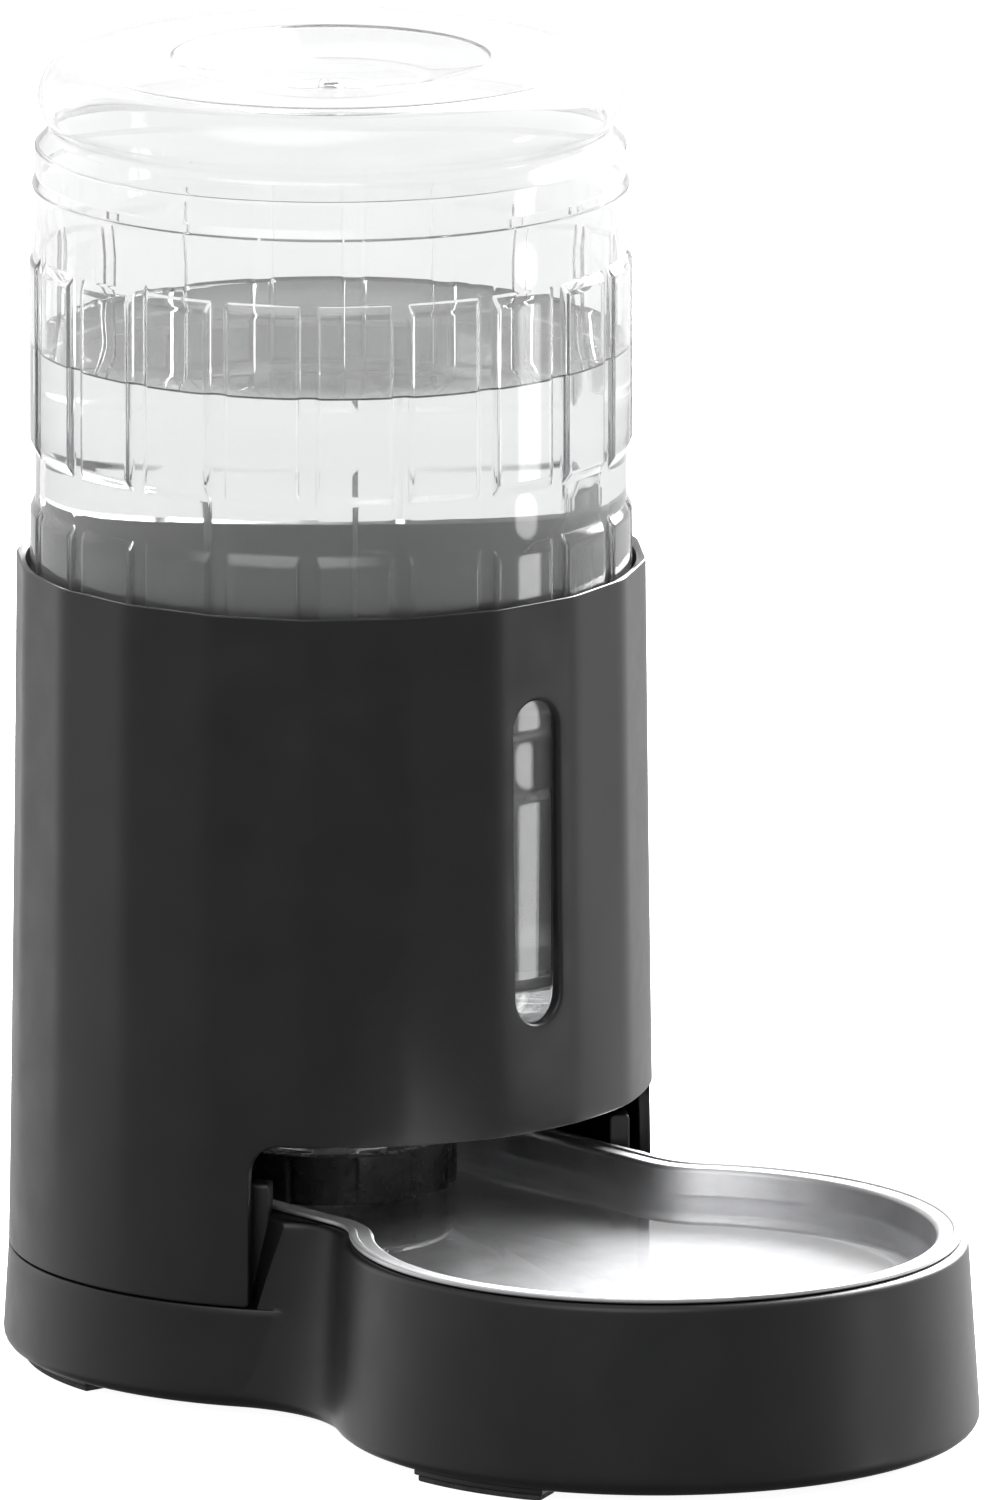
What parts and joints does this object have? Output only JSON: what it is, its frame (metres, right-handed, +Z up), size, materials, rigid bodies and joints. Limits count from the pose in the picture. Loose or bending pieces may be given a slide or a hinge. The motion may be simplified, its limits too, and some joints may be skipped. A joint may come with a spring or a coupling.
{
  "type": "gravity pet waterer",
  "caption": "Gravity pet waterer: clear inverted bottle in a black casing on a tub base, feeding a stainless keyhole pan through a sprung cap valve.",
  "frame": {"origin": "on the floor, under the middle of the outline's bounding box", "axes": "+Z up along the bottle's axis; -Y towards the front, where the animal drinks; +X to the right seen from above with the front at the bottom"},
  "size_m": [0.175, 0.3048, 0.3516],
  "materials": {
    "black_plastic": "fine satin moulded black plastic, slightly darker in recesses",
    "rubber_foot": "matte black rubber",
    "stainless": "satin stamped stainless steel with polished rolled edge",
    "clear_bottle": "clear glossy blow-moulded plastic",
    "white_plastic": "plain white moulded plastic",
    "silicone": "milky translucent silicone",
    "screw_steel": "zinc-plated steel",
    "spring_steel": "bright stainless spring wire"
  },
  "bodies": {
    "base": {"base_tub": "black_plastic", "foot_rear_right": "rubber_foot", "foot_rear_left": "rubber_foot", "foot_front_right": "rubber_foot", "foot_front_left": "rubber_foot"},
    "pan": {"pan": "stainless"},
    "tower": {"casing": "black_plastic", "bottle_cradle": "black_plastic", "cradle_screw_1": "screw_steel", "cradle_screw_2": "screw_steel", "cradle_screw_3": "screw_steel", "cradle_screw_4": "screw_steel"},
    "bottle": {"bottle": "clear_bottle"},
    "gasket": {"cap_gasket": "silicone"},
    "cap": {"cap": "black_plastic", "valve_guide": "white_plastic", "valve_spring": "spring_steel"},
    "valve": {"valve_plunger": "white_plastic", "valve_seal": "silicone", "stem_tip": "silicone"}
  },
  "joints": [
    {"name": "sleeve_lift", "type": "slide", "parent": "base", "child": "tower", "axis": [0, 0, 1], "range_m": [0, 0.06]},
    {"name": "bottle_lift", "type": "slide", "parent": "tower", "child": "bottle", "axis": [0, 0, 1], "range_m": [0, 0.2]},
    {"name": "pan_lift", "type": "slide", "parent": "base", "child": "pan", "axis": [0, 0, 1], "range_m": [0, 0.008]},
    {"name": "cap_advance", "type": "slide", "parent": "bottle", "child": "gasket", "axis": [0, 0, -1], "range_m": [0, 0.0046]},
    {"name": "cap_turn", "type": "hinge", "parent": "gasket", "child": "cap", "pos_m": [0, 0.0649, 0.044], "axis": [0, 0, -1], "range_deg": [0, 450]},
    {"name": "valve_travel", "type": "slide", "parent": "bottle", "child": "valve", "axis": [0, 0, 1], "range_m": [0, 0.008], "stiffness_N_per_m": 60, "springref_m": -0.01, "deforming": ["valve_spring"]}
  ],
  "couplings": [
    {"joint": "cap_advance", "follows": "cap_turn", "m_per_rad": 0.000573},
    {"joint": "valve_travel", "follows": "pan_lift", "ratio": 1}
  ]
}
